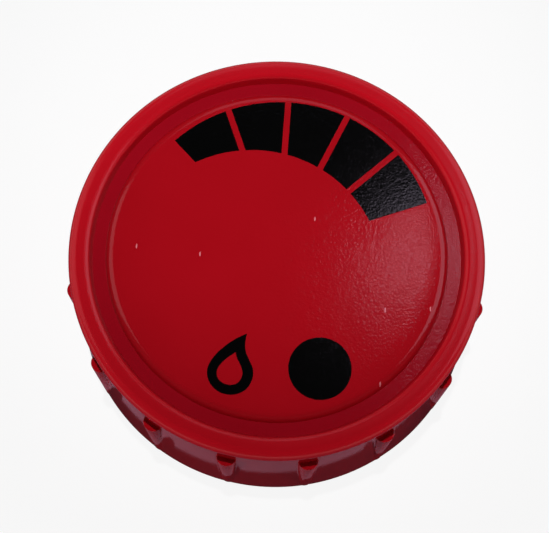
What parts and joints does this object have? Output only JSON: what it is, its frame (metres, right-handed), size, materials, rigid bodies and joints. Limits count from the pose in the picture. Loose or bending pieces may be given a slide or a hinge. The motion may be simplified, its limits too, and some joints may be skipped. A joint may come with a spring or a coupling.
{
  "type": "drip emitter",
  "caption": "Adjustable drip emitter for a bottle's neck: a ribbed round dial turns on a threaded collar and meters water through a tapered groove.",
  "frame": {"origin": "centre of the collar's foot, on the surface that the emitter stands on", "axes": "+Z along the dial's axis, up through its face; -Y towards the picture's viewer; at rest the dial is closed, with its closed mark 67.5 degrees clockwise from +X"},
  "size_m": [0.0414, 0.0414, 0.0173],
  "materials": {
    "dial_plastic": "satin moulded",
    "scale_plastic": "fine grained",
    "collar_plastic": "moulded",
    "gasket_rubber": "matt",
    "filter_plastic": "moulded",
    "mesh_steel": "woven wire",
    "seal_rubber": "smooth",
    "metering_plastic": "smooth moulded",
    "washer_plastic": "smooth",
    "spring_steel": "rolled",
    "screw_steel": "turned"
  },
  "bodies": {
    "collar": {"neck_collar": "collar_plastic", "neck_gasket": "gasket_rubber", "filter_frame": "filter_plastic", "filter_mesh": "mesh_steel", "seal_disc": "seal_rubber", "stem_o_ring": "seal_rubber", "thrust_washer": "washer_plastic", "disc_spring": "spring_steel", "retaining_screw": "screw_steel"},
    "dial": {"dial_cap": "dial_plastic", "scale_disc": "scale_plastic", "metering_disc": "metering_plastic"}
  },
  "joints": [
    {"name": "dial_turn", "type": "hinge", "parent": "collar", "child": "dial", "pos_m": [0, 0, 0.0132], "axis": [0, 0, 1], "range_deg": [0, 270]}
  ]
}
